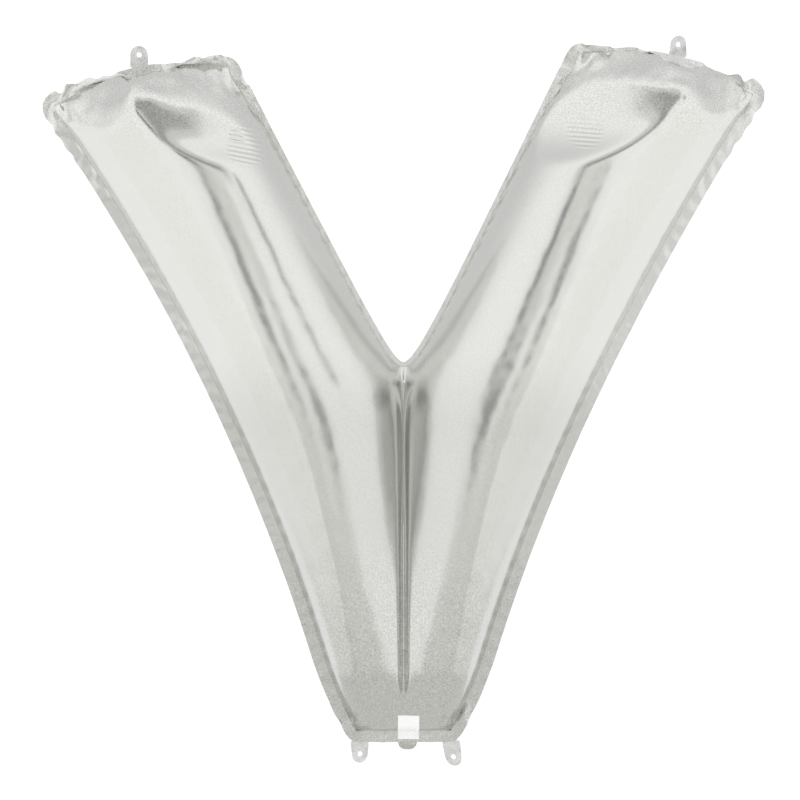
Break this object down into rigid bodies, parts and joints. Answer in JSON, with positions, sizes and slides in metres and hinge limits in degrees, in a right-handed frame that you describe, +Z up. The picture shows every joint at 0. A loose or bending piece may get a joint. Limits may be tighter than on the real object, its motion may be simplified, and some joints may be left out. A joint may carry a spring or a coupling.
{
  "type": "letter foil balloon",
  "caption": "Inflated foil balloon shaped as a capital V: two crowned silver panels welded round a flat hem, with punched hanging tabs and a fill neck.",
  "frame": {"origin": "middle of the foot's hem edge, beside the middle of the fill neck, in the plane of the seam", "axes": "+Z up the letter, +X to the right as it is read, the front panel faces -Y"},
  "size_m": [1.0224, 0.1966, 1.0254],
  "materials": {
    "foil": "bright metallised film, taut, with fine grain and soft creases",
    "hem_foil": "heat-welded metallised film, puckered, slightly duller",
    "tab_film": "thin silvery film, half clear",
    "neck_foil": "metallised film, not welded flat",
    "valve_film": "clear valve film"
  },
  "bodies": {
    "balloon": {"front_panel": "foil", "back_panel": "foil", "seam_hem": "hem_foil", "neck_front_ply": "neck_foil", "neck_back_ply": "neck_foil", "valve_film": "valve_film"},
    "top_left_tab": {"tab_top_left": "tab_film"},
    "top_right_tab": {"tab_top_right": "tab_film"},
    "bottom_left_tab": {"tab_bottom_left": "tab_film"},
    "bottom_right_tab": {"tab_bottom_right": "tab_film"}
  },
  "joints": [
    {"name": "bend_top_left", "type": "hinge", "parent": "balloon", "child": "top_left_tab", "pos_m": [-0.37029, 0, 0.94656], "axis": [0.9743, 0, 0.2251], "range_deg": [-85, 85], "stiffness_Nm_per_rad": 0.0002},
    {"name": "bend_top_right", "type": "hinge", "parent": "balloon", "child": "top_right_tab", "pos_m": [0.38433, 0, 0.96111], "axis": [0.9677, 0, -0.252], "range_deg": [-85, 85], "stiffness_Nm_per_rad": 0.0002},
    {"name": "bend_bottom_left", "type": "hinge", "parent": "balloon", "child": "bottom_left_tab", "pos_m": [-0.0615, 0, -0.0013], "axis": [-1, 0, 0], "range_deg": [-85, 85], "stiffness_Nm_per_rad": 0.0002},
    {"name": "bend_bottom_right", "type": "hinge", "parent": "balloon", "child": "bottom_right_tab", "pos_m": [0.0665, 0, -0.0013], "axis": [-1, 0, 0], "range_deg": [-85, 85], "stiffness_Nm_per_rad": 0.0002}
  ]
}
